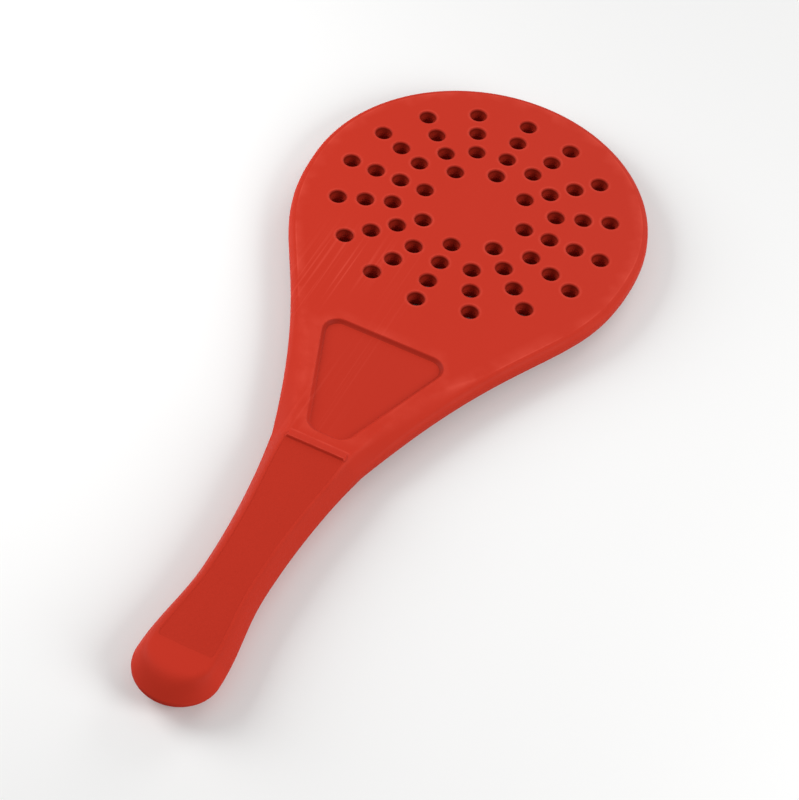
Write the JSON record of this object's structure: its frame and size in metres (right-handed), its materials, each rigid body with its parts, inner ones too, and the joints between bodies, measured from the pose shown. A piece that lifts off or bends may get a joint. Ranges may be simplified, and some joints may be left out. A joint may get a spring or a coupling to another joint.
{
  "type": "beach game paddle",
  "caption": "Moulded plastic beach paddle: perforated round head, hollow half shells closed on a parting line, tapered throat with a shallow recess, thumb rib and waisted handle.",
  "frame": {"origin": "middle of the bottom of the box, with the paddle lying on its back", "axes": "+X across the head, +Y along the handle towards the tip of the head, +Z out of the front face"},
  "size_m": [0.1674, 0.3872, 0.0194],
  "materials": {
    "shell_plastic": "satin red moulded plastic",
    "grip_plastic": "fine-grained matt red plastic"
  },
  "bodies": {
    "root": {"front_shell": "shell_plastic", "back_shell": "shell_plastic", "front_grip_pad": "grip_plastic", "back_grip_pad": "grip_plastic"}
  },
  "joints": []
}
